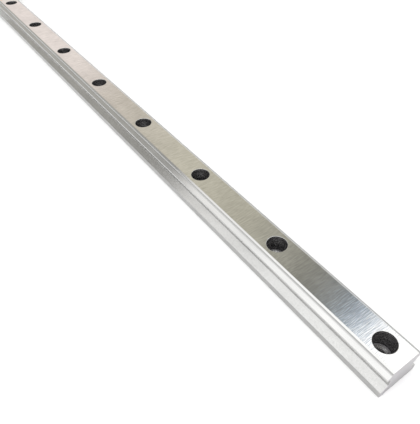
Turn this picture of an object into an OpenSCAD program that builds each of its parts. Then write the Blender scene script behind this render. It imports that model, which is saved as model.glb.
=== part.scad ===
// Profiled linear guide: a four-row ball rail with counterbored fixing holes, and the
// low-profile recirculating ball carriage that runs on it.
// X runs along the rail, Z is up. The origin is the middle of the rail's bottom face.

/* [Rail] */
// Length of the rail
rail_length = 560; // [260:60:1160]
// Width of the rail's base
rail_width = 20; // [20:0.1:21]
// Height of the rail
rail_height = 15.5; // [15.5:0.1:16.5]
// Half width of the ground top face
top_half = 6.6; // [6.4:0.1:6.7]
// Chamfer along each edge of the top face
top_chamfer = 0.65; // [0.5:0.05:0.7]
// Half width over the ridge that parts the two ball grooves of a side
ridge_half = 9.6; // [9.5:0.05:9.65]
// Depth from the top face to the upper edge of the ridge
ridge_depth = 2.5; // [2.45:0.05:2.55]
// Height of the ridge's flat land
ridge_land = 1.55; // [1.5:0.05:1.6]
// Height of the upright side of the base
base_side = 3.5; // [3:0.1:4]
// Height at which the sloping shoulder meets the waist
shoulder_height = 5.15; // [5:0.05:5.2]
// Chamfer along the bottom edges
base_chamfer = 0.4; // [0.2:0.1:0.6]

/* [Fixing holes] */
// Distance from one fixing hole to the next
hole_pitch = 60; // [60]
// Distance from each end of the rail to its first hole
hole_end = 10; // [8:0.5:14]
// Diameter of the through hole
hole_d = 6; // [5.5:0.1:6.5]
// Diameter of the counterbore
counterbore_d = 9.5; // [9:0.1:10]
// Depth of the counterbore
counterbore_depth = 8.5; // [7:0.1:9]
// Chamfer round the mouth of each counterbore
hole_chamfer = 0.2; // [0.1:0.05:0.3]

/* [Balls] */
// Diameter of a ball
ball_d = 3.572; // [3.55:0.001:3.58]
// Radius of the ball grooves
groove_r = 1.93; // [1.92:0.01:1.95]
// Gap between a ball and each groove
ball_gap = 0.05; // [0.03:0.01:0.07]
// Balls in each of the four circuits
ball_count = 30; // [20:1:30]

/* [Carriage] */
// Gap from the carriage to the rail's far end
carriage_gap = 10.9; // [4:0.1:40]
// Height of the mounting face above the rail's bottom face
mount_height = 28; // [28:0.1:30]
// Height of the carriage's underside
under_height = 6; // [5.9:0.05:6.1]
// Width over the carriage block
block_width = 42; // [42:0.1:44]
// Length of the steel block
block_length = 48.1; // [48:0.1:60]
// Length of the carriage over its end seals
carriage_length = 69.1; // [69:0.1:81]
// Distance between the mounting holes, along and across the rail
mount_pitch = 32; // [30:0.5:33]
// Depth of the mounting holes
mount_depth = 7.5; // [6:0.5:8]
// Core radius of the tapped mounting holes
mount_core_r = 2.1; // [2:0.05:2.2]

/* [Hidden] */

$fn = 64;
eps = 0.01;
FRONT = -1;
REAR = 1;
LEFT = 1;
RIGHT = -1;

// Rail section, as half widths and heights
rail_half = rail_width / 2;
waist_bevel = [0.3, 0.45];
groove_top = [top_half + top_chamfer, rail_height - top_chamfer];
ridge_top = [ridge_half, rail_height - ridge_depth];
ridge_mid = rail_height - ridge_depth - ridge_land / 2;
waist_top = 2 * ridge_mid - rail_height;

// Centre of the upper groove: groove_r away from both of its edges, outside the rail
groove_chord = ridge_top - groove_top;
groove_dir = groove_chord / norm(groove_chord);
groove_rise = sqrt(groove_r * groove_r - groove_chord * groove_chord / 4);
groove_up = (groove_top + ridge_top) / 2 + groove_rise * [-groove_dir.y, groove_dir.x];
groove_low = [groove_up.x, 2 * ridge_mid - groove_up.y];

// Ball rows, [half width, height]: the balls bear on the rail at 45 degrees
ball_r = ball_d / 2;
bear = (groove_r - ball_r - ball_gap) * sqrt(0.5);
row_up = groove_up + [-bear, -bear];
row_low = groove_low + [-bear, bear];
race_up = row_up + [-bear, -bear];
race_low = row_low + [-bear, bear];

// Return bores, where the balls run back through the block
return_gap = 0.214;
return_r = ball_r + return_gap;
return_up = [15.4, 16.2];
return_low = [15.4, 9.15];

// Channel through the block, over the rail
lip_half = 8.95;
wall_half = ridge_half + 0.7;
roof_half = 8.4;
roof = rail_height + 1.6;
wall_reach = 1.15;
lip_reach = 1.3;
roof_reach = 1.7;

// Edges of the block, and its holes
foot_chamfer = 1.6;
bed_chamfer = 0.8;
drill_tip = 31;
countersink = 0.4;
tap_depth = 6.5;
tap_gap = 0.05;

// Positions along the rail
block_end = block_length / 2;
carriage_x = rail_length / 2 - carriage_gap - carriage_length / 2;
plate_t = 1;
seal_t = 0.8;
cap_length = carriage_length / 2 - block_end - plate_t - seal_t;
seal_start = block_end + cap_length;
plate_start = seal_start + seal_t;
plate_end = plate_start + plate_t;

// Clearances to the rail
cap_clear = 0.6;
lip_clear = 0.15;
plate_clear = 1.3;

// Outlines of the cap, seal and plate: each is the cap's outline moved in, sides and bottom apart
cap_half = 20.4;
cap_top = mount_height - 0.8;
cap_corner = 2;
cap_step = 1;
step_inset = [0.4, 0.2];
seal_inset = [0.9, 0.5];
seal_corner = 1.4;
plate_inset = [0.5, 0.3];
plate_corner = 1.8;
lip_back = 0.2;
lip_overlap = 0.05;

// Return guides: half thickness of a core, and the web between both cores of a side
core_half = 2.3;
web_start = 11.2;
web_size = [1.6, 2.4];

// Oil grooves in the cap's inner face
oil_depth = 1.2;
oil_width = 1.6;
oil_half = 14;

// Screws that hold the plates, seals and caps on the block, [half width, height]
screw_places = [[11.5, 23.6], [18, 12.7]];
screw_r = 1.25;
screw_length = 16;
screw_gap = 0.15;
head_r = 2.25;
head_h = 1.3;
head_bevel = [0.5, 0.6];
recess_size = [2.4, 0.5];
recess_depth = 0.8;

// Lubrication port
port_height = 22;
port_r = 2.95;
port_gap = 0.1;
thread_gap = 0.05;

// Nipple past the plate: hexagon, then turned steps [from, to, radius at from, radius at to]
hexagon_d = 8.08;
hexagon_h = 2.6;
nipple_stem = 6.5;
nipple_steps = [[2.6, 4.2, 2.6, 2.6], [4.2, 5.9, 1.9, 1.9], [5.9, 6.9, 1.9, 2.9],
    [6.9, 7.7, 2.9, 2.9], [7.7, 9.4, 2.9, 1.5]];
nipple_bore_r = 0.9;
nipple_mouth_r = 0.6;
nipple_bore_end = 8.8;
check_ball = [7.9, 0.8];

// Set screw: length, setback behind the plate, socket
plug_length = 6;
plug_back = 0.4;
socket_d = 3.46;
socket_depth = 3;

// Strips inside the channel
strip_gap = 0.12;
upper_strip = 0.4;
oil_channel = [2.5, 0.8];
lower_strip_half = 7.4;
lower_strip_h = 1.4;
bottom_seal_h = 0.9;
bottom_lip = [0.2, 0.5];
bottom_lip_root = 0.8;

function left_right(right) = concat(right, [for (i = [len(right) - 1:-1:0]) [-right[i].x, right[i].y]]);

// Outline of the rail with straight lines across its grooves, counter-clockwise
function rail_outline() = left_right([
    [rail_half - base_chamfer, 0],
    [rail_half, base_chamfer],
    [rail_half, base_side],
    [top_half + waist_bevel.x, shoulder_height],
    [top_half, shoulder_height + waist_bevel.y],
    [top_half, waist_top],
    [groove_top.x, 2 * ridge_mid - groove_top.y],
    [ridge_half, 2 * ridge_mid - ridge_top.y],
    ridge_top,
    groove_top,
    [top_half, rail_height]
]);

function out_normal(a, b) = [b.y - a.y, a.x - b.x] / norm(b - a);

// The outline with every side moved outward by g
function grown(p, g) = [for (i = [0:len(p) - 1])
    let (before = out_normal(p[(i + len(p) - 1) % len(p)], p[i]),
         after = out_normal(p[i], p[(i + 1) % len(p)]))
    p[i] + (before + after) * g / (1 + before * after)];

// Place of the ball that is s along its circuit: [along the rail, across from loaded row to return]
function circuit_place(s, across) =
    let (straight = block_length, rho = across / 2, turn = PI * rho)
    s < straight ? [s - block_end, 0] :
    s < straight + turn ?
        let (a = (s - straight) / rho * 180 / PI) [block_end + rho * sin(a), rho * (1 - cos(a))] :
    s < 2 * straight + turn ? [block_end - (s - straight - turn), across] :
        let (a = (s - 2 * straight - turn) / rho * 180 / PI)
        [-block_end - rho * sin(a), rho * (1 + cos(a))];

// Extrudes a section drawn as [across, up] along the rail, from x0 over length
module along_x(x0, length) {
    translate([x0, 0, 0]) rotate([90, 0, 90]) linear_extrude(length) children();
}

// A cylinder along the rail at [across, up]
module rod_x(place, r, x0, x1, r_end = undef) {
    translate([x0, place.x, place.y]) rotate([0, 90, 0])
        cylinder(r1 = r, r2 = is_undef(r_end) ? r : r_end, h = x1 - x0);
}

module both_sides() {
    children();
    mirror([0, 1, 0]) children();
}

// Puts a piece drawn at the carriage's +X end on the front or the rear of the carriage
module at_end(end) {
    translate([carriage_x, 0, 0])
        if (end == FRONT) mirror([1, 0, 0]) children();
        else children();
}

// Rectangle with round corners, centred across and standing on bottom
module rounded(half, bottom, top, r) {
    translate([-half + r, bottom]) square([2 * (half - r), top - bottom]);
    translate([-half, bottom + r]) square([2 * half, top - bottom - 2 * r]);
    for (x = [-half + r, half - r], y = [bottom + r, top - r]) translate([x, y]) circle(r);
}

// Section of the rail, grown all round by g
module rail_section(g = 0) {
    difference() {
        polygon(grown(rail_outline(), g));
        for (side = [LEFT, RIGHT], centre = [groove_up, groove_low])
            translate([side * centre.x, centre.y]) circle(groove_r - g);
    }
}

module rail() {
    holes = floor((rail_length - 2 * hole_end) / hole_pitch + eps);
    color("silver") difference() {
        along_x(-rail_length / 2, rail_length) rail_section();
        for (i = [0:holes]) translate([hole_end - rail_length / 2 + i * hole_pitch, 0, 0]) {
            translate([0, 0, -1]) cylinder(d = hole_d, h = rail_height);
            translate([0, 0, rail_height - counterbore_depth])
                cylinder(d = counterbore_d, h = counterbore_depth + 1);
            translate([0, 0, rail_height - hole_chamfer])
                cylinder(d1 = counterbore_d, d2 = counterbore_d + 4 * hole_chamfer, h = 2 * hole_chamfer);
        }
    }
}

// Space inside the block: the channel over the rail and the four raceways
module block_channel() {
    polygon(left_right([
        [lip_half, under_height - 1],
        [lip_half, row_low.y - lip_reach],
        [wall_half, row_low.y + wall_reach],
        [wall_half, row_up.y - wall_reach],
        [roof_half, row_up.y + roof_reach],
        [roof_half, roof]
    ]));
    for (side = [LEFT, RIGHT], centre = [race_up, race_low])
        translate([side * centre.x, centre.y]) circle(groove_r);
}

module block_section() {
    half = block_width / 2;
    difference() {
        polygon(left_right([
            [half - foot_chamfer, under_height],
            [half, under_height + foot_chamfer],
            [half, mount_height - bed_chamfer],
            [half - bed_chamfer, mount_height]
        ]));
        block_channel();
    }
}

module mounting_hole() {
    cone = mount_core_r * tan(drill_tip);
    translate([0, 0, mount_height - mount_depth]) cylinder(r = mount_core_r, h = mount_depth + 1);
    translate([0, 0, mount_height - mount_depth - cone]) cylinder(r1 = 0, r2 = mount_core_r, h = cone);
    translate([0, 0, mount_height - countersink])
        cylinder(r1 = mount_core_r, r2 = mount_core_r + 2 * countersink, h = 2 * countersink);
}

module carriage_block() {
    color("gainsboro") translate([carriage_x, 0, 0]) difference() {
        along_x(-block_end, block_length) block_section();
        both_sides() {
            for (place = [return_up, return_low]) rod_x(place, return_r, -block_end - 1, block_end + 1);
            for (end = [FRONT, REAR], place = screw_places)
                rod_x(place, screw_r + tap_gap, end * block_end - tap_depth, end * block_end + tap_depth);
        }
        for (x = [-1, 1], y = [-1, 1]) translate([x, y, 0] * mount_pitch / 2) mounting_hole();
    }
}

// Places children on the plane through a loaded row and its return bore, at the block's end:
// X out of the block, Y from the loaded row towards the return
module at_turn(row, back) {
    middle = (row + back) / 2;
    translate([block_end, middle.x, middle.y])
        rotate([atan2(back.y - row.y, back.x - row.x), 0, 0]) children();
}

// Half ring in which the balls turn round from a loaded row to its return bore
module ball_turn(row, back) {
    at_turn(row, back) rotate([0, 0, -90]) rotate_extrude(angle = 180)
        translate([norm(back - row) / 2, 0]) circle(return_r);
}

// Half disc that guides the inside of a turn
module turn_core(row, back) {
    at_turn(row, back) intersection() {
        translate([0, 0, -core_half]) cylinder(r = norm(back - row) / 2, h = 2 * core_half);
        translate([0, -return_up.x, -return_up.x]) cube(2 * return_up.x);
    }
}

// Outer form of one return guide: the two cores of a side and the web between them
module guide_form() {
    turn_core(row_up, return_up);
    turn_core(row_low, return_low);
    translate([block_end, web_start, return_low.y])
        cube([web_size.x, web_size.y, return_up.y - return_low.y]);
}

module both_turns() {
    ball_turn(row_up, return_up);
    ball_turn(row_low, return_low);
}

// The cap's outline with its sides and top moved in by inset.x and its bottom by inset.y
module inset_outline(inset, r) {
    rounded(cap_half - inset.x, under_height + inset.y, cap_top - inset.x, r);
}

module end_cap(end, colour) {
    color(colour) at_end(end) difference() {
        union() {
            along_x(block_end, cap_length - cap_step)
                rounded(cap_half, under_height, cap_top, cap_corner);
            along_x(seal_start - cap_step, cap_step) inset_outline(step_inset, cap_corner - step_inset.x);
        }
        along_x(block_end - 1, cap_length + 2) {
            rail_section(cap_clear);
            square([2 * (top_half + cap_clear), 2 * (under_height + 1)], center = true);
        }
        both_sides() {
            guide_form();
            both_turns();
            for (place = screw_places) rod_x(place, screw_r + screw_gap, block_end - 1, seal_start + 1);
        }
        rod_x([0, port_height], port_r, block_end - 1, seal_start + 1);
        // Oil grooves from the port to the upper turns, on the face against the block
        translate([block_end - 1, -oil_half, port_height - oil_width / 2])
            cube([1 + oil_depth, 2 * oil_half, oil_width]);
        both_sides() translate([block_end - 1, oil_half - oil_width, return_up.y])
            cube([1 + oil_depth, oil_width, port_height - return_up.y]);
    }
}

module return_guides(end) {
    color("ivory") at_end(end) both_sides() difference() {
        guide_form();
        both_turns();
        along_x(block_end - 1, cap_length) rail_section(cap_clear);
    }
}

module plate_screw_holes(r) {
    both_sides() for (place = screw_places) rod_x(place, r, seal_start - 1, plate_end + 1);
    rod_x([0, port_height], port_r + port_gap, seal_start - 1, plate_end + 1);
}

// Rubber end seal: a thin sheet behind the plate, and the lip that wipes the rail
module end_seal(end) {
    lip_end = plate_end - lip_back;
    color("dimgray") at_end(end) difference() {
        union() {
            along_x(seal_start, seal_t) inset_outline(seal_inset, seal_corner);
            along_x(seal_start, lip_end - seal_start) intersection() {
                rail_section(plate_clear - lip_overlap);
                inset_outline(seal_inset, seal_corner);
            }
        }
        along_x(seal_start - 1, 4) rail_section(lip_clear);
        plate_screw_holes(screw_r + screw_gap);
    }
}

module seal_plate(end) {
    color("lightgray") at_end(end) difference() {
        along_x(plate_start, plate_t) inset_outline(plate_inset, plate_corner);
        along_x(plate_start - 1, 3) {
            rail_section(plate_clear);
            square([2 * (top_half + plate_clear), 2 * (under_height + 1)], center = true);
        }
        plate_screw_holes(screw_r + screw_gap);
    }
}

// Pan-head screw with a cross recess, its head resting on the seal plate
module cap_screw(place) {
    difference() {
        union() {
            rod_x(place, screw_r, plate_end - screw_length, plate_end + eps);
            rod_x(place, head_r, plate_end, plate_end + head_h - head_bevel.x);
            rod_x(place, head_r, plate_end + head_h - head_bevel.x, plate_end + head_h, head_r - head_bevel.y);
        }
        translate([plate_end + head_h, place.x, place.y]) {
            cube([2 * recess_depth, recess_size.x, recess_size.y], center = true);
            cube([2 * recess_depth, recess_size.y, recess_size.x], center = true);
        }
    }
}

module cap_screws(end) {
    color("darkgray") at_end(end) both_sides() for (place = screw_places) cap_screw(place);
}

// Strip under the block's roof whose edges keep both upper rows of balls in
module upper_retainer() {
    bottom = rail_height + upper_strip;
    color("ivory") translate([carriage_x, 0, 0]) along_x(-block_end, block_length) difference() {
        translate([-roof_half, bottom]) square([2 * roof_half, roof - bottom]);
        for (side = [LEFT, RIGHT]) translate([side * row_up.x, row_up.y]) circle(ball_r + strip_gap);
        translate([-oil_channel.x, rail_height]) square([2 * oil_channel.x, oil_channel.y]);
    }
}

// Strip inside the lip of the block that keeps a lower row of balls in
module lower_retainer(side) {
    width = lip_half - lower_strip_half;
    color("ivory") translate([carriage_x, 0, 0]) along_x(-block_end, block_length) difference() {
        translate([side < 0 ? -lip_half : lower_strip_half, under_height + bottom_seal_h])
            square([width, lower_strip_h]);
        translate([side * row_low.x, row_low.y]) circle(ball_r + strip_gap);
    }
}

// Strip seal that closes the gap between the block's lip and the rail's waist
module bottom_seal(side) {
    root = top_half + bottom_lip_root;
    tip = top_half + lip_clear;
    color("dimgray") translate([carriage_x, 0, 0]) along_x(-block_end, block_length) scale([side, 1])
        polygon([
            [lip_half, under_height],
            [lip_half, under_height + bottom_seal_h],
            [root, under_height + bottom_seal_h],
            [tip, under_height + bottom_lip.y],
            [tip, under_height + bottom_lip.x],
            [root, under_height]
        ]);
}

module ball_row(side, row, back) {
    across = norm(back - row);
    step = (2 * block_length + PI * across) / ball_count;
    out = (back - row) / across;
    color("whitesmoke") translate([carriage_x, 0, 0])
        for (i = [0:ball_count - 1]) {
            place = circuit_place(i * step + step / 4, across);
            centre = row + out * place.y;
            translate([place.x, side * centre.x, centre.y]) sphere(r = ball_r, $fn = 24);
        }
}

// Straight grease nipple: hexagon, neck and hollow nose, screwed into the front cap
module grease_nipple() {
    port = [0, port_height];
    color("goldenrod") at_end(FRONT) difference() {
        union() {
            rod_x(port, port_r - thread_gap, plate_end - nipple_stem, plate_end + eps);
            translate([plate_end, 0, port_height]) rotate([0, 90, 0])
                cylinder(d = hexagon_d, h = hexagon_h, $fn = 6);
            for (step = nipple_steps)
                rod_x(port, step[2], plate_end + step[0], plate_end + step[1], step[3]);
        }
        rod_x(port, nipple_bore_r, plate_end - nipple_stem - 1, plate_end + nipple_bore_end);
        rod_x(port, nipple_mouth_r, plate_end + nipple_bore_end - 1, plate_end + nipple_bore_end + 1);
    }
}

// Check ball behind the nipple's mouth
module nipple_ball() {
    color("whitesmoke") at_end(FRONT) translate([plate_end + check_ball[0], 0, port_height])
        sphere(r = check_ball[1], $fn = 24);
}

// Socket set screw that closes the rear cap's port
module port_plug() {
    color("dimgray") at_end(REAR) difference() {
        rod_x([0, port_height], port_r - thread_gap, plate_end - plug_length, plate_end - plug_back);
        translate([plate_end - socket_depth, 0, port_height]) rotate([0, 90, 0])
            cylinder(d = socket_d, h = socket_depth + 1, $fn = 6);
    }
}

rail();
carriage_block();
end_cap(FRONT, "#26282b");  // end_cap_front
end_cap(REAR, "#26282b");  // end_cap_rear
return_guides(FRONT);  // return_guides_front
return_guides(REAR);  // return_guides_rear
end_seal(FRONT);  // end_seal_front
end_seal(REAR);  // end_seal_rear
seal_plate(FRONT);  // seal_plate_front
seal_plate(REAR);  // seal_plate_rear
cap_screws(FRONT);  // cap_screws_front
cap_screws(REAR);  // cap_screws_rear
upper_retainer();
lower_retainer(LEFT);  // lower_retainer_left
lower_retainer(RIGHT);  // lower_retainer_right
bottom_seal(LEFT);  // bottom_seal_left
bottom_seal(RIGHT);  // bottom_seal_right
ball_row(LEFT, row_up, return_up);  // balls_upper_left
ball_row(RIGHT, row_up, return_up);  // balls_upper_right
ball_row(LEFT, row_low, return_low);  // balls_lower_left
ball_row(RIGHT, row_low, return_low);  // balls_lower_right
grease_nipple();
nipple_ball();
port_plug();
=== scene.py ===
"""The looks of a profiled linear guide rail and its ball carriage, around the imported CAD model.

Shapes are written in millimetres and become metres in the meshes. X runs along the rail, Z is up.
A section is a list of (across, up) points, counter-clockwise seen from the rail's +X end.
"""
import math

import bmesh
import bpy
from mathutils import Matrix, Vector


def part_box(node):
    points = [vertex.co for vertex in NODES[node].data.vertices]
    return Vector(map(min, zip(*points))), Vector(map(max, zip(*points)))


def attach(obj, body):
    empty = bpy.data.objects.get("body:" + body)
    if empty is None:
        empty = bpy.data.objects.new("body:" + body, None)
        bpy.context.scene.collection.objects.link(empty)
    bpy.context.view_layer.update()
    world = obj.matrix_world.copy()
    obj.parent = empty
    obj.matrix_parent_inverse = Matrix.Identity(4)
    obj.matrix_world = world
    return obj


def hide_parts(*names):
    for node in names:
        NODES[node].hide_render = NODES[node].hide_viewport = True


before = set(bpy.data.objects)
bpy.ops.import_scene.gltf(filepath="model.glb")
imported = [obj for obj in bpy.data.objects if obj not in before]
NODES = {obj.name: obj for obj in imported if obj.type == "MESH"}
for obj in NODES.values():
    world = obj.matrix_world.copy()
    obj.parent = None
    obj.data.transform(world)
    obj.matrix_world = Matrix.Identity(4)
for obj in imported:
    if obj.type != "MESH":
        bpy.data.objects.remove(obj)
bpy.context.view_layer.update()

MM = 0.001


# ---------------------------------------------------------------- sizes, in millimetres

def span(node):
    """Lowest and highest corner of a CAD node, in millimetres."""
    low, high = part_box(node)
    return low / MM, high / MM


RAIL_LOW, RAIL_HIGH = span("rail")
RAIL_TOP = RAIL_HIGH.z
BASE_HALF = RAIL_HIGH.y
TOP_HALF = 6.6
TOP_CHAMFER = 0.65
RIDGE_HALF = 9.6
RIDGE_DEPTH = 2.5
RIDGE_LAND = 1.55
RIDGE_MID = RAIL_TOP - RIDGE_DEPTH - RIDGE_LAND / 2
RIDGE_ROUND = 0.6
HEAD_SIDE = RIDGE_DEPTH + RIDGE_LAND / 2 - TOP_CHAMFER
BASE_SIDE = 3.5
SHOULDER = 5.15
BASE_CHAMFER = 0.4
GROOVE_R = 1.93

BLOCK_LOW, BLOCK_HIGH = span("carriage_block")
CENTRE_X = (BLOCK_LOW.x + BLOCK_HIGH.x) / 2
BLOCK_END = (BLOCK_HIGH.x - BLOCK_LOW.x) / 2
BLOCK_HALF = BLOCK_HIGH.y
UNDER = BLOCK_LOW.z
BED = BLOCK_HIGH.z
ENDS = {"front": -1, "rear": 1}

BALL_R = 1.786
BALL_GAP = 0.05
RETURN_R = 2.0
RETURNS = [(15.4, 16.2), (15.4, 9.15)]
LIP_HALF = 8.95
WALL_HALF = 10.3
ROOF_HALF = 8.4
ROOF = 17.1

MOUNT_PITCH = 32
MOUNT_DEPTH = 7.5
MOUNT_CORE_R = 2.1
MOUNT_THREAD = 0.8
MOUNT_SINK = 0.5

CAP_SIDE = 0.6
CAP_DROP = 0.8
CAP_CLEAR = 0.6
LIP_CLEAR = 0.15
PLATE_CLEAR = 1.3
SEAL_LIFT = 0.5
PLATE_LIFT = 0.3
SEAL_START = 32.75
PLATE_START = 33.55
PLATE_END = 34.55

SCREWS = [(11.5, 23.6), (18, 12.7)]
SCREW_R = 1.25
SCREW_LENGTH = 16
SCREW_THREAD = 0.45
SCREW_TAP = 6.5
SCREW_CLEAR = 0.15
THREAD_DEPTH = 0.45  # as a share of the pitch
HEAD_R = 2.25
HEAD_H = 1.3
PORT_Z = 22
PORT_R = 2.95
PORT_CLEAR = 0.1
PORT_THREAD = 0.75
PORT_CORE_R = 2.5

HOLE_PITCH = 60
HOLE_END = 10
HOLE_R = 3
COUNTERBORE_R = 4.75
COUNTERBORE_DEPTH = 8.5
HOLE_SEAT = 0.8

BEYOND = 1  # how far a cutter reaches past what it cuts
NEAR = 0.05  # how near a plane a face lies that counts as in it


# ---------------------------------------------------------------- sections

def left_right(right):
    """Closes a right half, given from the bottom up, with its mirror image."""
    return right + [(-y, z) for y, z in reversed(right)]


def out_normal(a, b):
    """Unit normal of the side from a to b, out of a counter-clockwise outline."""
    length = math.dist(a, b)
    return (b[1] - a[1]) / length, (a[0] - b[0]) / length


def grown(points, g):
    """The closed outline with every side moved outward by g."""
    moved = []
    for i, p in enumerate(points):
        nx, ny = out_normal(points[i - 1], p)
        mx, my = out_normal(p, points[(i + 1) % len(points)])
        share = g / (1 + nx * mx + ny * my)
        moved.append((p[0] + (nx + mx) * share, p[1] + (ny + my) * share))
    return moved


def softened(points, r, steps=3):
    """The closed outline with every real corner rounded by about r."""
    least_turn = math.radians(18)
    soft = []
    for i, p in enumerate(points):
        a, b = Vector(points[i - 1]), Vector(points[(i + 1) % len(points)])
        p = Vector(p)
        before, after = p - a, b - p
        turn = abs(before.angle_signed(after))
        if turn < least_turn:
            soft.append(tuple(p))
            continue
        reach = min(r * math.tan(turn / 2), 0.45 * before.length, 0.45 * after.length)
        start, end = p - before.normalized() * reach, p + after.normalized() * reach
        for k in range(steps + 1):
            t = k / steps
            soft.append(tuple(start * (1 - t) ** 2 + p * 2 * t * (1 - t) + end * t * t))
    return soft


def arc(centre, r, start, end, steps):
    """Points on a circle from angle start to angle end, in degrees."""
    angles = [math.radians(start + (end - start) * k / steps) for k in range(steps + 1)]
    return [(centre[0] + r * math.cos(a), centre[1] + r * math.sin(a)) for a in angles]


def angle_of(v):
    return math.degrees(math.atan2(v.y, v.x)) % 360


def groove_edges():
    """The upper groove's two edges and its centre, as (half width, height above the ridge's middle)."""
    ridge, head = Vector((RIDGE_HALF, RIDGE_LAND / 2)), Vector((TOP_HALF + TOP_CHAMFER, HEAD_SIDE))
    along = (head - ridge).normalized()
    out = Vector((along.y, -along.x))
    centre = (ridge + head) / 2 + out * math.sqrt(GROOVE_R ** 2 - (head - ridge).length_squared / 4)
    return ridge, head, centre


def ball_groove(z_sign):
    """The right side's groove and rounded ridge corner, from the ridge land inward to the head.

    z_sign is 1 for the upper groove. The lower one is its mirror image about the ridge's middle.
    """
    ridge, head, centre = groove_edges()
    corner_y = RIDGE_HALF - RIDGE_ROUND
    drop = math.sqrt((GROOVE_R + RIDGE_ROUND) ** 2 - (centre.x - corner_y) ** 2)
    corner = Vector((corner_y, centre.y - drop))
    meet = angle_of(centre - corner)
    points = arc(corner, RIDGE_ROUND, 0, meet, 6)
    points += arc(centre, GROOVE_R, meet + 180, angle_of(head - centre), 16)[1:]
    points = [(y, RIDGE_MID + z_sign * z) for y, z in points]
    return points if z_sign > 0 else points[::-1]


def rail_section():
    """The rail's outline, with its ball grooves."""
    half = [
        (BASE_HALF - BASE_CHAMFER, 0),
        (BASE_HALF, BASE_CHAMFER),
        (BASE_HALF, BASE_SIDE),
        (TOP_HALF + 0.3, SHOULDER),
        (TOP_HALF, SHOULDER + 0.45),
        (TOP_HALF, 2 * RIDGE_MID - RAIL_TOP),
    ]
    return left_right(half + ball_groove(-1) + ball_groove(1) + [(TOP_HALF, RAIL_TOP)])


def opening(gap, bottom):
    """Right half of the rail's outline, grown by gap, from the height bottom up."""
    outline = grown(rail_section(), gap)
    above = [p for p in outline[:len(outline) // 2] if p[1] > UNDER + 1]
    return [(TOP_HALF + gap, bottom)] + above


def round_half(half, bottom, top, r):
    """Right half of a rectangle with round corners, from the bottom up."""
    return arc((half - r, bottom + r), r, -90, 0, 8) + arc((half - r, top - r), r, 0, 90, 8)


def bridge(outer, inner):
    """A section that straddles the rail, from the right halves of its outside and its opening."""
    return left_right(outer) + left_right(inner)[::-1]


def raceway(z_sign):
    """Centre of the block's upper (1) or lower (-1) raceway."""
    centre = groove_edges()[2]
    bear = (GROOVE_R - BALL_R - BALL_GAP) * math.sqrt(0.5)
    return centre.x - 2 * bear, RIDGE_MID + z_sign * (centre.y - 2 * bear)


def race_arc(z_sign):
    """The stretch of a raceway between the channel's wall and its lip or roof, from the bottom up."""
    centre = raceway(z_sign)
    wall = math.degrees(math.acos((WALL_HALF - centre[0]) / GROOVE_R))
    edge = LIP_HALF if z_sign < 0 else ROOF_HALF
    far = math.degrees(math.acos((edge - centre[0]) / GROOVE_R))
    return arc(centre, GROOVE_R, *((-far, wall) if z_sign < 0 else (-wall, far)), 14)


def block_section():
    """The block's outline, with its channel and raceways."""
    foot, shoulder = 1.6, 0.8
    outer = [
        (BLOCK_HALF - foot, UNDER), (BLOCK_HALF, UNDER + foot),
        (BLOCK_HALF, BED - shoulder), (BLOCK_HALF - shoulder, BED),
    ]
    inner = [(LIP_HALF, UNDER)] + race_arc(-1) + race_arc(1) + [(ROOF_HALF, ROOF)]
    return bridge(outer, inner)


# ---------------------------------------------------------------- meshes

def new_object(name, bm):
    """A mesh object from a bmesh in millimetres."""
    bm.transform(Matrix.Scale(MM, 4))
    bmesh.ops.recalc_face_normals(bm, faces=bm.faces)
    mesh = bpy.data.meshes.new(name)
    bm.to_mesh(mesh)
    bm.free()
    obj = bpy.data.objects.new(name, mesh)
    bpy.context.scene.collection.objects.link(obj)
    return obj


def rounded_ends(x0, x1, edge):
    """Rings for add_rings that round a bar's end edges by edge."""
    near = [(x0, edge), (x0 + edge * 0.3, edge * 0.3), (x0 + edge, 0)]
    return near + [(x1 - edge, 0), (x1 - edge * 0.3, edge * 0.3), (x1, edge)]


def add_prism(bm, section, x0, x1, edge=0.0):
    """A bar of the given section along X, its end edges rounded by edge."""
    add_rings(bm, section, rounded_ends(x0, x1, edge) if edge else [(x0, 0), (x1, 0)])


def add_rings(bm, section, rings):
    """A closed solid along X through rings of (x, how far the section's sides move inward)."""
    loops = []
    for x, inward in rings:
        points = grown(section, -inward) if inward else section
        loops.append([bm.verts.new((x, y, z)) for y, z in points])
    for a, b in zip(loops, loops[1:]):
        for i in range(len(a)):
            bm.faces.new((a[i - 1], a[i], b[i], b[i - 1]))
    bm.faces.new(loops[0])
    bm.faces.new(list(reversed(loops[-1])))


def add_lathe(bm, profile, place, axis="Z", steps=64):
    """A closed solid of revolution. profile is (radius, height) from one pole to the other.

    A profile that never reaches the axis is closed on itself, which makes a tube.
    """
    at = Matrix.Translation(place)
    if axis == "X":
        at = at @ Matrix.Rotation(math.pi / 2, 4, "Y")
    angles = [2 * math.pi * k / steps for k in range(steps)]
    rings = []
    for r, h in profile:
        if r == 0:
            rings.append([bm.verts.new(at @ Vector((0, 0, h)))])
            continue
        rings.append([bm.verts.new(at @ Vector((r * math.cos(a), r * math.sin(a), h))) for a in angles])
    if profile[0][0] > 0:
        rings.append(rings[0])
    for a, b in zip(rings, rings[1:]):
        for i in range(steps):
            if len(a) == 1:
                bm.faces.new((a[0], b[i], b[i - 1]))
            elif len(b) == 1:
                bm.faces.new((a[i - 1], a[i], b[0]))
            else:
                bm.faces.new((a[i - 1], a[i], b[i], b[i - 1]))


def rod(r, low, high):
    """Lathe profile of a plain cylinder."""
    return [(0, low), (r, low), (r, high), (0, high)]


def cut(obj, bm, operation="DIFFERENCE"):
    """Takes the volume of bm out of obj, or joins it with UNION, or keeps what both share."""
    tool = new_object("tool", bm)
    change = obj.modifiers.new("cut", "BOOLEAN")
    change.operation, change.solver, change.object = operation, "EXACT", tool
    bake(obj)
    bpy.data.objects.remove(tool)


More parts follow.
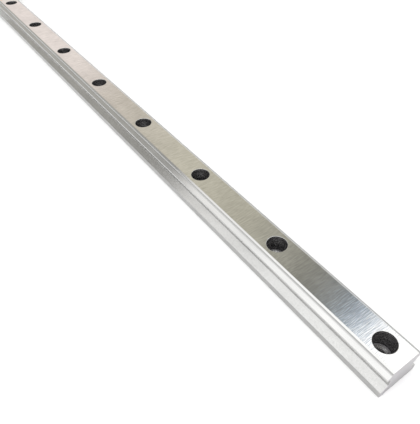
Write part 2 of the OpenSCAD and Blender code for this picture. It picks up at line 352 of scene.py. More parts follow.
def bake(obj):
    """Applies obj's modifiers."""
    graph = bpy.context.evaluated_depsgraph_get()
    mesh = bpy.data.meshes.new_from_object(obj.evaluated_get(graph))
    obj.modifiers.clear()
    obj.data = mesh


def smooth(obj, degrees=32):
    """Smooth shading that keeps real edges, led by the large faces."""
    obj.data.shade_smooth()
    obj.data.set_sharp_from_angle(angle=math.radians(degrees))
    change = obj.modifiers.new("normals", "WEIGHTED_NORMAL")
    change.weight = 100
    change.keep_sharp = True


def paint(obj, materials, choose):
    """Gives each face the material that choose(centre in millimetres, normal) names."""
    names = list(materials)
    obj.data.materials.clear()
    for name in names:
        obj.data.materials.append(materials[name])
    for face in obj.data.polygons:
        face.material_index = names.index(choose(face.center / MM, face.normal))


def settle(piece, body, node):
    """Finishes a piece that stands for a CAD node and moves with a body."""
    smooth(piece)
    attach(piece, body)
    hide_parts(node)


# ---------------------------------------------------------------- materials

class Graph:
    """A short way to write a node tree."""

    def __init__(self, owner):
        owner.use_nodes = True
        self.tree = owner.node_tree
        self.tree.nodes.clear()

    def add(self, kind, inputs=None, **values):
        node = self.tree.nodes.new("ShaderNode" + kind)
        for key, value in values.items():
            setattr(node, key, value)
        for key, value in (inputs or {}).items():
            if isinstance(value, bpy.types.NodeSocket):
                self.tree.links.new(value, node.inputs[key])
            else:
                node.inputs[key].default_value = value
        return node

    def math(self, operation, a, b=0.0):
        return self.add("Math", {0: a, 1: b}, operation=operation).outputs[0]

    def shares(self, a, a_share, b, b_share):
        """Two values added, each by its share."""
        return self.math("ADD", self.math("MULTIPLY", a, a_share), self.math("MULTIPLY", b, b_share))

    def stretched(self, x, y, z):
        """Object coordinates in metres, multiplied by x, y and z."""
        place = self.add("TexCoord").outputs["Object"]
        return self.add("VectorMath", {0: place, 1: (x, y, z)}, operation="MULTIPLY").outputs[0]

    def noise(self, vector, scale=1.0, detail=3.0, roughness=0.55):
        inputs = {"Vector": vector, "Scale": scale, "Detail": detail, "Roughness": roughness}
        return self.add("TexNoise", inputs).outputs[0]

    def ramp(self, value, stops):
        node = self.add("ValToRGB", {0: value})
        ramp = node.color_ramp
        while len(ramp.elements) < len(stops):
            ramp.elements.new(0.5)
        for element, (position, colour) in zip(ramp.elements, stops):
            element.position = position
            element.color = (*colour, 1)
        return node.outputs[0]

    def range(self, value, low, high, to_low=0.0, to_high=1.0):
        inputs = {0: value, 1: low, 2: high, 3: to_low, 4: to_high}
        return self.add("MapRange", inputs, clamp=True).outputs[0]

    def mix(self, share, a, b, blend="MIX"):
        node = self.add("Mix", {0: share}, data_type="RGBA", blend_type=blend)
        for socket, value in (("A", a), ("B", b)):
            slot = [s for s in node.inputs if s.name == socket and s.type == "RGBA"][0]
            if isinstance(value, bpy.types.NodeSocket):
                self.tree.links.new(value, slot)
            else:
                slot.default_value = (*value, 1)
        return [s for s in node.outputs if s.type == "RGBA"][0]

    def bump(self, height, distance):
        return self.add("Bump", {"Height": height, "Distance": distance, "Strength": 1.0}).outputs[0]

    def surface(self, inputs):
        shader = self.add("BsdfPrincipled", inputs)
        self.add("OutputMaterial", {"Surface": shader.outputs[0]})


def ground_top():
    """Surface-ground steel: fine lines across the rail, with broad cloudy patches."""
    mat = bpy.data.materials.new("ground_top")
    g = Graph(mat)
    fine = g.noise(g.stretched(2600, 240, 240), detail=2.0)
    coarse = g.noise(g.stretched(1300, 160, 160), detail=2.0)
    clouds = g.noise(g.stretched(55, 90, 55), detail=4.0)
    lines = g.shares(fine, 0.8, coarse, 0.2)
    tone = g.range(g.shares(fine, 0.65, clouds, 0.35), 0.35, 0.65)
    colour = g.mix(tone, (0.52, 0.515, 0.502), (0.69, 0.685, 0.67))
    rough = g.range(clouds, 0.3, 0.7, 0.07, 0.11)
    g.surface({"Base Color": colour, "Metallic": 1.0, "Roughness": rough,
               "Normal": g.bump(lines, 2.2e-5)})
    return mat


def drawn_flank(name, dark, light):
    """Drawn and frosted steel of the flanks, between two shades. Each stretch of flank gets its own copy,
    painted lighter or darker as painted light and shade.
    """
    mat = bpy.data.materials.new(name)
    g = Graph(mat)
    grain = g.noise(g.stretched(1400, 1400, 1400), detail=3.0)
    draw = g.noise(g.stretched(60, 1600, 1600), detail=2.0)
    patches = g.noise(g.stretched(70, 200, 200), detail=3.0)
    height = g.shares(grain, 0.7, draw, 0.3)
    tone = g.range(g.shares(grain, 0.5, patches, 0.5), 0.3, 0.7)
    g.surface({"Base Color": g.mix(tone, dark, light), "Metallic": 1.0,
               "Roughness": g.range(grain, 0.3, 0.7, 0.13, 0.2), "Normal": g.bump(height, 1.5e-5)})
    return mat


def ground_groove():
    """Ground ball groove: smooth, with fine lines along the rail, and painted shade that darkens its steep,
    sideways-facing faces.
    """
    mat = bpy.data.materials.new("ground_groove")
    g = Graph(mat)
    lines = g.noise(g.stretched(25, 3000, 3000), detail=2.0)
    patches = g.noise(g.stretched(50, 300, 300), detail=3.0)
    ground = g.mix(g.range(patches, 0.3, 0.7), (0.60, 0.60, 0.59), (0.67, 0.67, 0.66))
    facing = g.add("SeparateXYZ", {0: g.add("NewGeometry").outputs["Normal"]}).outputs[1]
    # Painted shade: steep, sideways-facing faces get a darker colour.
    upright_painted_shade = g.range(g.math("ABSOLUTE", facing), 0.72, 0.95)
    colour = g.mix(upright_painted_shade, ground, (0.40, 0.40, 0.395))
    g.surface({"Base Color": colour, "Metallic": 1.0,
               "Roughness": g.range(patches, 0.3, 0.7, 0.10, 0.16), "Normal": g.bump(lines, 4e-6)})
    return mat


def dark_bore():
    """Scale-black bore of a fixing hole, with turning marks round it."""
    mat = bpy.data.materials.new("dark_bore")
    g = Graph(mat)
    place = g.add("SeparateXYZ", {0: g.add("TexCoord").outputs["Object"]})
    pitch = HOLE_PITCH * MM
    first = (RAIL_LOW.x + HOLE_END) * MM
    shifted = g.math("SUBTRACT", place.outputs[0], first - pitch / 2)
    along = g.math("SUBTRACT", g.math("FLOORED_MODULO", shifted, pitch), pitch / 2)
    square = g.math("ADD", g.math("POWER", along, 2), g.math("POWER", place.outputs[1], 2))
    outward = g.math("MULTIPLY", g.math("SQRT", square), 1800)
    upward = g.math("MULTIPLY", place.outputs[2], 4000)
    turned = g.add("CombineXYZ", {0: outward, 2: upward})
    rings = g.noise(turned.outputs[0], detail=1.0)
    spots = g.noise(g.stretched(700, 700, 700), detail=3.0)
    tone = g.shares(g.range(rings, 0.38, 0.62), 0.6, spots, 0.4)
    colour = g.mix(g.range(tone, 0.3, 0.7), (0.08, 0.078, 0.082), (0.40, 0.39, 0.395))
    g.surface({"Base Color": colour, "Metallic": 0.9,
               "Roughness": g.range(spots, 0.3, 0.7, 0.2, 0.34), "Normal": g.bump(rings, 6e-5)})
    return mat


def bright_rim():
    """Bright machined chamfer."""
    mat = bpy.data.materials.new("bright_rim")
    g = Graph(mat)
    marks = g.noise(g.stretched(900, 900, 900), detail=2.0)
    colour = g.mix(marks, (0.55, 0.55, 0.54), (0.68, 0.68, 0.67))
    g.surface({"Base Color": colour, "Metallic": 1.0,
               "Roughness": g.range(marks, 0.3, 0.7, 0.2, 0.32)})
    return mat


def cut_end():
    """Abrasive-cut end face: fine level marks, stains, and a bluish grey that is painted lighter higher up
    and darker near the floor, as painted light and shade.
    """
    mat = bpy.data.materials.new("cut_end")
    g = Graph(mat)
    marks = g.noise(g.stretched(400, 160, 2600), detail=2.0)
    stains = g.noise(g.stretched(250, 250, 250), detail=4.0)
    up = g.add("SeparateXYZ", {0: g.add("TexCoord").outputs["Object"]}).outputs[2]
    # Painted light and shade: the colour grows lighter from 1 mm to 11 mm up the end face.
    height = g.range(up, 0.001, 0.011)
    tone = g.shares(g.range(stains, 0.3, 0.7), 0.5, height, 0.5)
    colour = g.mix(tone, (0.29, 0.277, 0.295), (0.46, 0.446, 0.46))
    g.surface({"Base Color": colour, "Metallic": 1.0,
               "Roughness": g.range(stains, 0.3, 0.7, 0.28, 0.4), "Normal": g.bump(marks, 1e-5)})
    return mat


def grained(name, dark, light, rough, metallic=1.0, grain=(900, 900, 900), depth=1e-5, **more):
    """A finish between two shades with grain of the given fineness, per metre, along each axis."""
    mat = bpy.data.materials.new(name)
    g = Graph(mat)
    marks = g.noise(g.stretched(*grain), detail=3.0)
    clouds = g.noise(g.stretched(90, 90, 90), detail=3.0)
    tone = g.range(g.shares(marks, 0.5, clouds, 0.5), 0.35, 0.65)
    g.surface({"Base Color": g.mix(tone, dark, light), "Metallic": metallic,
               "Roughness": g.range(marks, 0.3, 0.7, *rough), "Normal": g.bump(marks, depth), **more})
    return mat


# ---------------------------------------------------------------- rail

def hole_tool(bm, x):
    """Cutter for one fixing hole: through hole, counterbore, and a small chamfer on each rim."""
    foot, seat, corner, rim, rim_round = 0.3, HOLE_SEAT, 0.4, 0.2, 0.07
    floor_z = RAIL_TOP - COUNTERBORE_DEPTH
    profile = [
        (0, -BEYOND), (HOLE_R + foot, -BEYOND), (HOLE_R + foot, 0), (HOLE_R, foot),
        (HOLE_R, floor_z - seat), (HOLE_R + seat, floor_z),
        (COUNTERBORE_R - corner, floor_z), (COUNTERBORE_R - corner / 4, floor_z + corner / 4),
        (COUNTERBORE_R, floor_z + corner),
        (COUNTERBORE_R, RAIL_TOP - rim), (COUNTERBORE_R + rim_round, RAIL_TOP - rim_round),
        (COUNTERBORE_R + rim, RAIL_TOP), (COUNTERBORE_R + rim, RAIL_TOP + BEYOND), (0, RAIL_TOP + BEYOND),
    ]
    add_lathe(bm, profile, (x, 0, 0), steps=96)


def rail_finish(centre, normal):
    """Which finish a face of the rail has. Shoulder, waist and side are one steel whose different shades are
    painted light and shade.
    """
    along = (centre.x - RAIL_LOW.x - HOLE_END) % HOLE_PITCH
    from_hole = math.hypot(min(along, HOLE_PITCH - along), centre.y)
    floor_z = RAIL_TOP - COUNTERBORE_DEPTH
    if from_hole < COUNTERBORE_R + 0.25 and abs(normal.x) + abs(normal.y) > 0.05:
        on_seat = abs(centre.z - floor_z + HOLE_SEAT / 2) < 0.1 and from_hole > HOLE_R
        if on_seat or centre.z > RAIL_TOP - 0.18:
            return "rim"
        return "bore"
    if from_hole < COUNTERBORE_R and abs(centre.z - floor_z) < 0.5:
        return "bore"
    if abs(normal.x) > 0.9:
        return "end"
    if normal.z > 0.9 and centre.z > RAIL_TOP - NEAR:
        return "top"
    if centre.z > 2 * RIDGE_MID - RAIL_TOP + 0.5 and abs(centre.y) < RIDGE_HALF - 0.1:
        return "groove"
    if centre.z > SHOULDER + 0.2:
        return "waist"
    return "side" if abs(normal.y) > 0.8 else "shoulder"


def build_rail():
    corner_round, end_round = 0.22, 0.15
    bm = bmesh.new()
    add_prism(bm, softened(rail_section(), corner_round), RAIL_LOW.x, RAIL_HIGH.x, end_round)
    rail = new_object("guide_rail", bm)
    tool = bmesh.new()
    count = round((RAIL_HIGH.x - RAIL_LOW.x - 2 * HOLE_END) / HOLE_PITCH) + 1
    for i in range(count):
        hole_tool(tool, RAIL_LOW.x + HOLE_END + i * HOLE_PITCH)
    cut(rail, tool)
    # One drawn steel in three shades: the sloped shoulder is painted lighter, and the waist under the head
    # and the upright side darker, as painted light and shade.
    shoulder = drawn_flank("drawn_shoulder_painted_light", (0.48, 0.48, 0.47), (0.60, 0.60, 0.59))
    side = drawn_flank("drawn_side_painted_shade", (0.385, 0.385, 0.38), (0.475, 0.475, 0.47))
    waist = drawn_flank("drawn_waist_painted_shade", (0.46, 0.46, 0.455), (0.56, 0.56, 0.555))
    finishes = {
        "top": ground_top(), "shoulder": shoulder, "side": side, "waist": waist,
        "groove": ground_groove(), "bore": dark_bore(), "rim": bright_rim(), "end": cut_end(),
    }
    paint(rail, finishes, rail_finish)
    settle(rail, "rail", "rail")


# ---------------------------------------------------------------- carriage

def across_both(places):
    """The places, (half width, height), on both sides of the carriage."""
    return [(side * y, z) for side in (1, -1) for y, z in places]


def thread(r, pitch, start, end):
    """Profile of a thread from start to end, as rings and not a helix. r is its smaller radius."""
    count = int((end - start) / pitch)
    depth = THREAD_DEPTH * pitch
    points = []
    for i in range(count):
        h = start + (end - start) * i / count
        points += [(r, h), (r + depth, h + 0.5 * (end - start) / count)]
    return points + [(r, end)]


def mounting_tool(bm, x, y):
    """Cutter for one tapped mounting hole, with its thread and countersink."""
    floor_z = BED - MOUNT_DEPTH
    tip = MOUNT_CORE_R * math.tan(math.radians(31))
    wide = MOUNT_CORE_R + MOUNT_SINK
    profile = [(0, floor_z - tip), (MOUNT_CORE_R, floor_z)]
    profile += thread(MOUNT_CORE_R, MOUNT_THREAD, floor_z + 1, BED - MOUNT_SINK)
    profile += [(MOUNT_CORE_R + 0.1, BED - 0.45), (wide, BED), (wide, BED + BEYOND), (0, BED + BEYOND)]
    add_lathe(bm, profile, (x, y, 0), steps=48)


def block_finish(centre, normal):
    """Which finish a face of the block has."""
    x, y = abs(centre.x - CENTRE_X), abs(centre.y)
    from_hole = math.hypot(x - MOUNT_PITCH / 2, y - MOUNT_PITCH / 2)
    if from_hole < MOUNT_CORE_R + 0.6 and centre.z > BED - MOUNT_DEPTH - 2 and x < BLOCK_END - 1:
        return "tapped" if centre.z < BED - 0.42 else "rim" if abs(normal.z) < 0.99 else "ground"
    if abs(normal.x) > 0.9:
        return "milled"
    if centre.z > BED - NEAR:
        return "ground"
    if y < BLOCK_HALF - 1.7 and centre.z > UNDER + NEAR and centre.z < BED - 1:
        return "race"
    return "side"


def build_block():
    corner_round, end_round = 0.25, 0.2
    bm = bmesh.new()
    add_prism(bm, softened(block_section(), corner_round), BLOCK_LOW.x, BLOCK_HIGH.x, end_round)
    block = new_object("guide_block", bm)
    holes, bores, end_holes = bmesh.new(), bmesh.new(), bmesh.new()
    for x in (-MOUNT_PITCH / 2, MOUNT_PITCH / 2):
        for y in (-MOUNT_PITCH / 2, MOUNT_PITCH / 2):
            mounting_tool(holes, CENTRE_X + x, y)
    for y, z in across_both(RETURNS):
        reach = BLOCK_END + BEYOND
        add_lathe(bores, rod(RETURN_R, -reach, reach), (CENTRE_X, y, z), "X", steps=40)
    for y, z in across_both(SCREWS):
        for end in ENDS.values():
            hole = rod(SCREW_R + 0.05, -SCREW_TAP, SCREW_TAP)
            add_lathe(end_holes, hole, (CENTRE_X + end * BLOCK_END, y, z), "X", steps=32)
    for tool in (holes, bores, end_holes):
        cut(block, tool)
    finishes = {
        "ground": grained("ground_block", (0.56, 0.56, 0.55), (0.66, 0.66, 0.65), (0.14, 0.24),
                          grain=(60, 2200, 900)),
        "side": grained("fine_side", (0.50, 0.50, 0.49), (0.60, 0.60, 0.59), (0.20, 0.32),
                        grain=(90, 1500, 1500)),
        "milled": grained("milled_end", (0.38, 0.38, 0.38), (0.48, 0.48, 0.475), (0.26, 0.38),
                          grain=(400, 1400, 300)),
        "race": grained("ground_race", (0.60, 0.60, 0.59), (0.70, 0.70, 0.69), (0.10, 0.17),
                        grain=(30, 2600, 2600), depth=4e-6),
        "tapped": grained("tapped_bore", (0.16, 0.158, 0.155), (0.30, 0.298, 0.29), (0.28, 0.42)),
        "rim": grained("turned_rim", (0.55, 0.55, 0.54), (0.68, 0.68, 0.67), (0.2, 0.3)),
    }
    paint(block, finishes, block_finish)
    settle(block, "carriage", "carriage_block")


def end_rings(end, rings):
    """Rings given outward from the carriage's middle, placed at one of its ends."""
    placed = [(CENTRE_X + end * x, inward) for x, inward in rings]
    return placed if end > 0 else placed[::-1]


def end_hole_tool(end, screw_r, port_r, x0, x1):
    """Cutter for the screw holes and the port through an end piece, from x0 to x1 outward."""
    bm = bmesh.new()
    rounds = [(place, screw_r) for place in across_both(SCREWS)] + [((0, PORT_Z), port_r)]
    for (y, z), r in rounds:
        low, high = sorted((end * x0, end * x1))
        add_lathe(bm, rod(r, low, high), (CENTRE_X, y, z), "X", steps=40)
    return bm


def turn_tool(end):
    """Cutter for the space in a cap that holds the return guides and lets the balls turn."""
    bm = bmesh.new()
    middle, rise, half_wide, half_high, corner, depth = 12.25, 0.65, 3.6, 5.6, 2.0, 4.9
    room = left_right(round_half(half_wide, -half_high, half_high, corner))
    low, high = sorted((CENTRE_X + end * (BLOCK_END - BEYOND), CENTRE_X + end * (BLOCK_END + depth)))
    for side in (1, -1):
        section = [(side * (y + middle), z + RIDGE_MID + rise) for y, z in room]
        add_prism(bm, section if side > 0 else section[::-1], low, high)
    return bm


def end_outline(inset, lift, corner):
    """Right half of an end piece's outside: the cap's, moved in by inset, its foot raised by lift."""
    return round_half(BLOCK_HALF - CAP_SIDE - inset, UNDER + lift, BED - CAP_DROP - inset, corner)


def build_cap(name, end, plastic):
    """Moulded cap: a parting groove round its middle and a step down to the seal."""
    section = softened(bridge(end_outline(0, 0, 2), opening(CAP_CLEAR, UNDER)), 0.5)
    edge, bevel = 0.12, 0.1
    groove, groove_end, step = BLOCK_END + 3.2, BLOCK_END + 3.6, SEAL_START - 1
    rings = [
        (BLOCK_END, edge), (BLOCK_END + edge, 0),
        (groove, 0), (groove + bevel, edge), (groove_end - bevel, edge), (groove_end, 0),
        (step - 0.35, 0), (step - bevel, bevel), (step, 0.36), (SEAL_START - bevel, 0.38), (SEAL_START, 0.42),
    ]
    bm = bmesh.new()
    add_rings(bm, section, end_rings(end, rings))
    cap = new_object(f"cap_{name}", bm)
    cut(cap, turn_tool(end))
    cut(cap, end_hole_tool(end, SCREW_R + SCREW_CLEAR, PORT_R, BLOCK_END - BEYOND, SEAL_START + BEYOND))
    cap.data.materials.append(plastic)
    settle(cap, "carriage", f"end_cap_{name}")


def build_seal(name, end, rubber):
    """Rubber sheet behind the plate, and the lip that wipes the rail through the plate's opening."""
    inner = opening(LIP_CLEAR, UNDER + SEAL_LIFT)
    section = softened(bridge(end_outline(0.9, SEAL_LIFT, 1.4), inner), 0.08)
    bm = bmesh.new()
    add_rings(bm, section, end_rings(end, [(SEAL_START, 0), (PLATE_START, 0)]))
    seal = new_object(f"rubber_seal_{name}", bm)
    lip = bmesh.new()
    lip_section = bridge(opening(PLATE_CLEAR - 0.05, UNDER + SEAL_LIFT), inner)
    rings = [(PLATE_START - 0.3, 0), (PLATE_END - 0.6, 0), (PLATE_END - 0.35, 0.06), (PLATE_END - 0.2, 0.3)]
    add_rings(lip, lip_section, end_rings(end, rings))
    cut(seal, lip, "UNION")
    holes = end_hole_tool(
        end, SCREW_R + SCREW_CLEAR, PORT_R + PORT_CLEAR, SEAL_START - BEYOND, PLATE_START + BEYOND)
    cut(seal, holes)
    seal.data.materials.append(rubber)
    settle(seal, "carriage", f"end_seal_{name}")


def build_plate(name, end, steel):
    """Stamped steel plate over the seal."""
    inner = opening(PLATE_CLEAR, UNDER + PLATE_LIFT)
    section = softened(bridge(end_outline(0.5, PLATE_LIFT, 1.8), inner), 0.25)
    bm = bmesh.new()
    burr, edge = 0.05, 0.16
    rings = [
        (PLATE_START, burr), (PLATE_START + burr, 0),
        (PLATE_END - edge, 0), (PLATE_END - burr, burr), (PLATE_END, edge),
    ]
    add_rings(bm, section, end_rings(end, rings))
    plate = new_object(f"cover_plate_{name}", bm)
    holes = end_hole_tool(
        end, SCREW_R + SCREW_CLEAR, PORT_R + PORT_CLEAR, PLATE_START - BEYOND, PLATE_END + BEYOND)
    cut(plate, holes)
    plate.data.materials.append(steel)
    settle(plate, "carriage", f"seal_plate_{name}")


def build_screws(name, end, zinc):
    """Pan-head screws with a cross recess, through plate, seal and cap into the block."""
    core_r, point_r, edge, crown, crown_wide = 1.05, 0.85, 0.1, 0.55, 1.3
    arm, slot, recess_depth = 1.2, 0.28, 0.5
    point, top = PLATE_END - SCREW_LENGTH, PLATE_END + HEAD_H
    profile = [(0, point), (point_r, point)]
    profile += thread(core_r, SCREW_THREAD, point + 0.3, PLATE_END - 1)
    profile += [(SCREW_R, PLATE_END - 0.9), (SCREW_R, PLATE_END), (HEAD_R - edge, PLATE_END)]
    profile += [(HEAD_R, PLATE_END + edge), (HEAD_R, top - crown - edge)]
    for step in range(1, 7):
        lean = math.radians(15 * step)
        profile.append((HEAD_R - crown_wide * (1 - math.cos(lean)), top - crown * (1 - math.sin(lean))))
    profile.append((0, top))
    bm = bmesh.new()
    for y, z in across_both(SCREWS):
        add_lathe(bm, [(r, end * h) for r, h in profile], (CENTRE_X, y, z), "X", steps=36)
    screws = new_object(f"plate_screws_{name}", bm)
    x0, x1 = sorted((CENTRE_X + end * (top - recess_depth), CENTRE_X + end * (PLATE_END + 2)))
    for half_y, half_z in ((arm, slot), (slot, arm)):
        recess = bmesh.new()
        for y, z in across_both(SCREWS):
            corners = [(y + a * half_y, z + b * half_z) for a, b in ((1, -1), (1, 1), (-1, 1), (-1, -1))]
            add_prism(recess, corners, x0, x1)
        cut(screws, recess)
    screws.data.materials.append(zinc)
    settle(screws, "carriage", f"cap_screws_{name}")


def hexagon(r):
    """Six corners, one of them straight up, at radius r round the port."""
    angles = [math.radians(30 + 60 * i) for i in range(6)]
    return [(r * math.cos(a), PORT_Z + r * math.sin(a)) for a in angles]


def build_nipple():
    """Grease nipple: chamfered hexagon, turned stem, neck and hollow nose."""
    end = ENDS["front"]
    depth, lead_r, bore_r = 6.5, 2.3, 0.9
    hex_r, hex_high, face_r, bevel = 4.04, 2.6, 3.5, 0.32
    profile = [(lead_r, PLATE_END - depth), (PORT_CORE_R, PLATE_END - depth + 0.2)]
    profile += thread(PORT_CORE_R, PORT_THREAD, PLATE_END - 6, PLATE_END - 0.6)
    body = [(2.9, -0.5), (2.9, 2.5), (2.6, 2.7), (2.6, 4.05), (2.45, 4.2), (1.95, 4.35), (1.9, 4.6),
            (1.9, 5.8), (2.0, 6.05), (2.8, 6.85), (2.9, 7.05), (2.9, 7.6), (2.8, 7.85), (1.6, 9.3),
            (1.42, 9.4), (0.7, 9.4), (0.6, 9.3), (0.6, 8.8), (bore_r, 8.5), (bore_r, -depth)]
    profile += [(r, PLATE_END + h) for r, h in body]
    bm = bmesh.new()
    add_lathe(bm, [(r, end * h) for r, h in profile], (CENTRE_X, 0, PORT_Z), "X", steps=48)
    nipple = new_object("nipple_body", bm)
    flats, bevels = bmesh.new(), bmesh.new()
    x0, x1 = sorted((CENTRE_X + end * PLATE_END, CENTRE_X + end * (PLATE_END + hex_high)))
    add_prism(flats, hexagon(hex_r), x0, x1)
    chamfered = new_object("nipple_flats", flats)
    h0, h1 = sorted((end * PLATE_END, end * (PLATE_END + hex_high)))
    cone = [(0, h0), (face_r, h0), (4.1, h0 + bevel), (4.1, h1 - bevel), (face_r, h1), (0, h1)]
    add_lathe(bevels, cone, (CENTRE_X, 0, PORT_Z), "X", steps=48)
    cut(chamfered, bevels, "INTERSECT")
    bore = bmesh.new()
    add_lathe(bore, rod(1.5, h0 - BEYOND, h1 + BEYOND), (CENTRE_X, 0, PORT_Z), "X")
    cut(chamfered, bore)
    whole = bmesh.new()
    whole.from_mesh(chamfered.data)
    whole.transform(Matrix.Scale(1 / MM, 4))
    bpy.data.objects.remove(chamfered)
    cut(nipple, whole, "UNION")
    nipple.data.materials.append(grained(
        "turned_brass", (0.60, 0.40, 0.15), (0.72, 0.51, 0.23), (0.18, 0.30), grain=(2400, 300, 300)))
    settle(nipple, "carriage", "grease_nipple")


def build_plug():
    """Socket set screw in the rear cap's port."""
    end = ENDS["rear"]
    start, face = PLATE_END - 6, PLATE_END - 0.4
    profile = [(0, start), (2.3, start), (PORT_CORE_R, start + 0.3)]
    profile += thread(PORT_CORE_R, PORT_THREAD, start + 0.4, face - 0.5)
    profile += [(2.55, face - 0.1), (2.4, face), (0, face)]
    bm, socket = bmesh.new(), bmesh.new()
    add_lathe(bm, [(r, end * h) for r, h in profile], (CENTRE_X, 0, PORT_Z), "X", steps=48)
    plug = new_object("socket_screw", bm)
    socket_r, socket_depth = 1.73, 3
    x0, x1 = CENTRE_X + end * (PLATE_END - socket_depth), CENTRE_X + end * (PLATE_END + BEYOND)
    add_prism(socket, hexagon(socket_r), x0, x1)
    cut(plug, socket)
    plug.data.materials.append(grained(
        "black_oxide", (0.035, 0.035, 0.037), (0.07, 0.07, 0.072), (0.28, 0.42)))
    settle(plug, "carriage", "port_plug")


def keep_node(node, material, bevel=0.0):
    """Keeps a CAD node's shape, with its own finish and slightly rounded edges."""
    obj = NODES[node]
    for index in range(len(obj.data.materials)):
        obj.data.materials[index] = material
    if bevel:
        obj.modifiers.new("weld", "WELD").merge_threshold = 1e-6
        flat = obj.modifiers.new("flat", "DECIMATE")
        flat.decimate_type, flat.angle_limit = "DISSOLVE", math.radians(0.5)
        edge = obj.modifiers.new("edge", "BEVEL")
        edge.width, edge.segments, edge.angle_limit = bevel * MM, 2, math.radians(35)
        obj.modifiers.new("normals", "WEIGHTED_NORMAL").keep_sharp = True


def build_carriage():
    build_block()
    plastic = grained("moulded_black", (0.012, 0.012, 0.013), (0.024, 0.024, 0.026), (0.34, 0.52),
                      metallic=0.0, grain=(2600, 2600, 2600), depth=2.5e-5)
    rubber = grained("seal_black", (0.014, 0.014, 0.014), (0.034, 0.033, 0.032), (0.55, 0.8),
                     metallic=0.0, grain=(1500, 1500, 1500), depth=2e-5)
    steel = grained("brushed_plate", (0.50, 0.50, 0.49), (0.61, 0.61, 0.60), (0.2, 0.34),
                    grain=(900, 60, 2600))
    zinc = grained("zinc_plate", (0.50, 0.505, 0.51), (0.62, 0.62, 0.61), (0.2, 0.34), grain=(700, 700, 700))
    for name, end in ENDS.items():
        build_cap(name, end, plastic)
        build_seal(name, end, rubber)
        build_plate(name, end, steel)
        build_screws(name, end, zinc)
    build_nipple()
    build_plug()
    ivory = grained("ivory_plastic", (0.66, 0.62, 0.52), (0.74, 0.70, 0.61), (0.34, 0.5), metallic=0.0,
                    grain=(1200, 1200, 1200))
    chrome = grained("polished_ball", (0.62, 0.62, 0.62), (0.68, 0.68, 0.68), (0.05, 0.09), depth=1e-6)
    for node in ("upper_retainer", "lower_retainer_left", "lower_retainer_right"):
        keep_node(node, ivory, 0.12)
    for node in ("return_guides_front", "return_guides_rear"):
        keep_node(node, ivory)
    for node in ("bottom_seal_left", "bottom_seal_right"):
        keep_node(node, rubber, 0.08)
    for row in ("upper_left", "upper_right", "lower_left", "lower_right"):
        keep_node("balls_" + row, chrome)
    keep_node("nipple_ball", chrome)


build_rail()
build_carriage()


# ---------------------------------------------------------------- studio

FLOOR_HALF = 12000
FLOOR_GAP = 0.2  # keeps the floor just clear of the rail's underside


def build_floor():
    mat = bpy.data.materials.new("floor_white")
    g = Graph(mat)
    tone = g.noise(g.stretched(3, 3, 3), detail=2.0)
    g.surface({"Base Color": g.mix(tone, (0.80, 0.80, 0.80), (0.82, 0.82, 0.82)), "Roughness": 0.9,
               "Specular IOR Level": 0.1})
    bm = bmesh.new()
    bmesh.ops.create_grid(bm, x_segments=8, y_segments=8, size=FLOOR_HALF)
    floor = new_object("floor", bm)
    floor.location.z = -FLOOR_GAP * MM
    floor.data.materials.append(mat)


def build_backdrop():
    """A plain pale wall round the floor's edge, which only the camera sees."""
    mat = bpy.data.materials.new("backdrop_pale")
    g = Graph(mat)
    tone = g.noise(g.stretched(0.1, 0.1, 0.1), detail=1.0)
    glow = g.add("Emission", {"Color": g.mix(tone, (0.90, 0.90, 0.90), (0.93, 0.93, 0.93))})
    g.add("OutputMaterial", {"Surface": glow.outputs[0]})
    bm = bmesh.new()
    wall, thick = FLOOR_HALF - 1000, 100
    profile = [(wall, -1), (wall + thick, -1), (wall + thick, wall), (wall, wall)]
    add_lathe(bm, profile, (0, 0, 0), steps=96)
    backdrop = new_object("backdrop", bm)
    backdrop.data.materials.append(mat)
    for ray in ("diffuse", "glossy", "transmission", "volume_scatter", "shadow"):
        setattr(backdrop, "visible_" + ray, False)


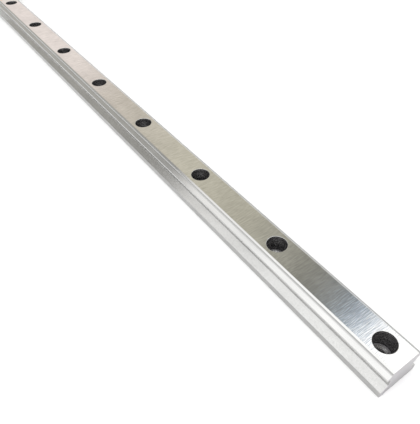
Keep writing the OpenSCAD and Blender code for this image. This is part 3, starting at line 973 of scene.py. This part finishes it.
def build_world():
    """A light tent whose one side is darker, which the rail's top face mirrors."""
    world = bpy.data.worlds.new("studio")
    bpy.context.scene.world = world
    g = Graph(world)
    way = g.add("SeparateXYZ", {0: g.add("TexCoord").outputs["Generated"]})
    along, across, up = way.outputs[0], way.outputs[1], way.outputs[2]
    bright_side = g.ramp(along, [
        (0.0, (0.76, 0.76, 0.76)), (0.40, (0.75, 0.75, 0.75)), (0.48, (0.64, 0.64, 0.64)),
        (0.64, (0.66, 0.65, 0.64)), (0.675, (0.19, 0.187, 0.18)), (0.76, (0.27, 0.265, 0.25)),
        (1.0, (0.32, 0.31, 0.29))])
    dark_side = g.ramp(along, [
        (0.0, (1.0, 1.0, 1.0)), (0.21, (1.0, 1.0, 1.0)), (0.233, (0.43, 0.49, 0.58)),
        (0.258, (0.32, 0.375, 0.44)), (0.281, (0.22, 0.25, 0.28)), (0.325, (0.185, 0.19, 0.185)),
        (0.39, (0.19, 0.188, 0.165)), (0.45, (0.265, 0.26, 0.225)), (0.53, (0.33, 0.318, 0.265)),
        (0.69, (0.42, 0.40, 0.335)), (0.82, (0.43, 0.392, 0.352)), (0.85, (0.60, 0.548, 0.522)),
        (1.0, (0.55, 0.50, 0.482))])
    slope = g.math("DIVIDE", across, g.math("MAXIMUM", up, 0.05))
    low = g.mix(g.range(slope, -1.5, -1.1), (0.32, 0.32, 0.32), dark_side)
    colour = g.mix(g.range(slope, -0.5, -0.36), low, bright_side)
    back = g.add("Background", {"Color": colour, "Strength": 2.0})
    g.add("OutputWorld", {"Surface": back.outputs[0]})


def build_lights():
    """One wide soft box above the camera's side. It whitens the floor round the object."""
    data = bpy.data.lights.new("soft_box", "AREA")
    data.shape, data.size = "DISK", 1.3
    data.energy = 8.0
    light = bpy.data.objects.new("soft_box", data)
    bpy.context.scene.collection.objects.link(light)
    light.location = (-0.25, 0.8, 1.1)
    light.rotation_euler = (Vector((-0.05, 0.0, 0.0)) - light.location).to_track_quat("-Z", "Y").to_euler()
    light.visible_glossy = False
    light.visible_camera = False


def build_camera():
    data = bpy.data.cameras.new("camera")
    data.lens = 39.59
    data.sensor_width = 36
    data.clip_start = 0.01
    camera = bpy.data.objects.new("camera", data)
    bpy.context.scene.collection.objects.link(camera)
    camera.location = (-0.30696, 0.10544, 0.16878)
    aim = Vector((-0.17592, 0.01232, 0.0155))
    camera.rotation_euler = (aim - camera.location).to_track_quat("-Z", "Y").to_euler()
    bpy.context.scene.camera = camera


build_floor()
build_backdrop()
build_world()
build_lights()
build_camera()
bpy.context.scene.view_settings.view_transform = "Standard"
